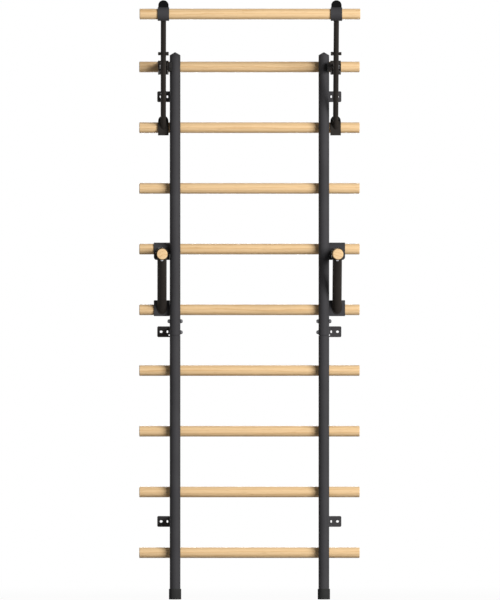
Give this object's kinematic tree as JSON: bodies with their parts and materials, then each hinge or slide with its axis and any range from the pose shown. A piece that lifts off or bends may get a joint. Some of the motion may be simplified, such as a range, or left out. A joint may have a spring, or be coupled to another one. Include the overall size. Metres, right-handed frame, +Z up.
{
  "type": "swedish wall bars",
  "caption": "Wall-fixed ladder of round wooden rungs on dark steel tube posts, with a hook-on pull-up bar at the top and hook-on dip handles halfway up.",
  "frame": {"origin": "on the floor and the wall, midway between the posts", "axes": "+X to the right of someone facing the bars, +Y into the wall, +Z up"},
  "size_m": [0.824, 0.57, 2.237],
  "materials": {
    "post": "satin powder coat",
    "carrier": "satin powder coat",
    "wood": "clear lacquered beech",
    "zinc": "dark zinc plated",
    "plastic": "moulded",
    "rubber": "moulded"
  },
  "bodies": {
    "frame": {"left_post_upper": "post", "left_post_lower": "post", "left_post_sleeve": "zinc", "left_post_cap": "post", "left_foot": "rubber", "left_joint_bolt_upper": "zinc", "left_joint_bolt_lower": "zinc", "left_wall_bracket_top": "post", "left_wall_bracket_middle": "post", "left_wall_bracket_bottom": "post", "right_post_upper": "post", "right_post_lower": "post", "right_post_sleeve": "zinc", "right_post_cap": "post", "right_foot": "rubber", "right_joint_bolt_upper": "zinc", "right_joint_bolt_lower": "zinc", "right_wall_bracket_top": "post", "right_wall_bracket_middle": "post", "right_wall_bracket_bottom": "post", "rung_1": "wood", "rung_2": "wood", "rung_3": "wood", "rung_4": "wood", "rung_5": "wood", "rung_6": "wood", "rung_7": "wood", "rung_8": "wood", "rung_9": "wood"},
    "pullup_hooks": {"left_upper_hook": "carrier", "right_upper_hook": "carrier"},
    "pullup_frame": {"left_bar_collar": "carrier", "left_bar_liner": "plastic", "left_strut": "carrier", "left_arm": "carrier", "left_cross_bolt": "carrier", "left_lower_saddle": "carrier", "left_saddle_liner": "plastic", "right_bar_collar": "carrier", "right_bar_liner": "plastic", "right_strut": "carrier", "right_arm": "carrier", "right_cross_bolt": "carrier", "right_lower_saddle": "carrier", "right_saddle_liner": "plastic", "pullup_bar": "wood"},
    "left_knob": {"left_knob": "plastic"},
    "right_knob": {"right_knob": "plastic"},
    "left_dip": {"left_dip_hook_plate": "carrier", "left_dip_rest_plate": "carrier", "left_dip_socket": "carrier", "left_dip_strut": "carrier", "left_dip_handle": "wood", "left_dip_screw": "zinc"},
    "right_dip": {"right_dip_hook_plate": "carrier", "right_dip_rest_plate": "carrier", "right_dip_socket": "carrier", "right_dip_strut": "carrier", "right_dip_handle": "wood", "right_dip_screw": "zinc"}
  },
  "joints": [
    {"name": "pullup_lift", "type": "slide", "parent": "frame", "child": "pullup_hooks", "axis": [0, 0, 1], "range_m": [0, 0.06]},
    {"name": "pullup_tilt", "type": "hinge", "parent": "pullup_hooks", "child": "pullup_frame", "pos_m": [0, -0.158, 1.99], "axis": [-1, 0, 0], "range_deg": [0, 60]},
    {"name": "left_knob_turn", "type": "hinge", "parent": "pullup_hooks", "child": "left_knob", "pos_m": [-0.322, -0.158, 1.99], "axis": [-1, 0, 0], "continuous": true},
    {"name": "right_knob_turn", "type": "hinge", "parent": "pullup_hooks", "child": "right_knob", "pos_m": [0.322, -0.158, 1.99], "axis": [-1, 0, 0], "continuous": true},
    {"name": "left_dip_tilt", "type": "hinge", "parent": "frame", "child": "left_dip", "pos_m": [-0.327, -0.08, 1.309], "axis": [-1, 0, 0], "range_deg": [0, 70]},
    {"name": "right_dip_tilt", "type": "hinge", "parent": "frame", "child": "right_dip", "pos_m": [0.327, -0.08, 1.309], "axis": [-1, 0, 0], "range_deg": [0, 70]}
  ]
}
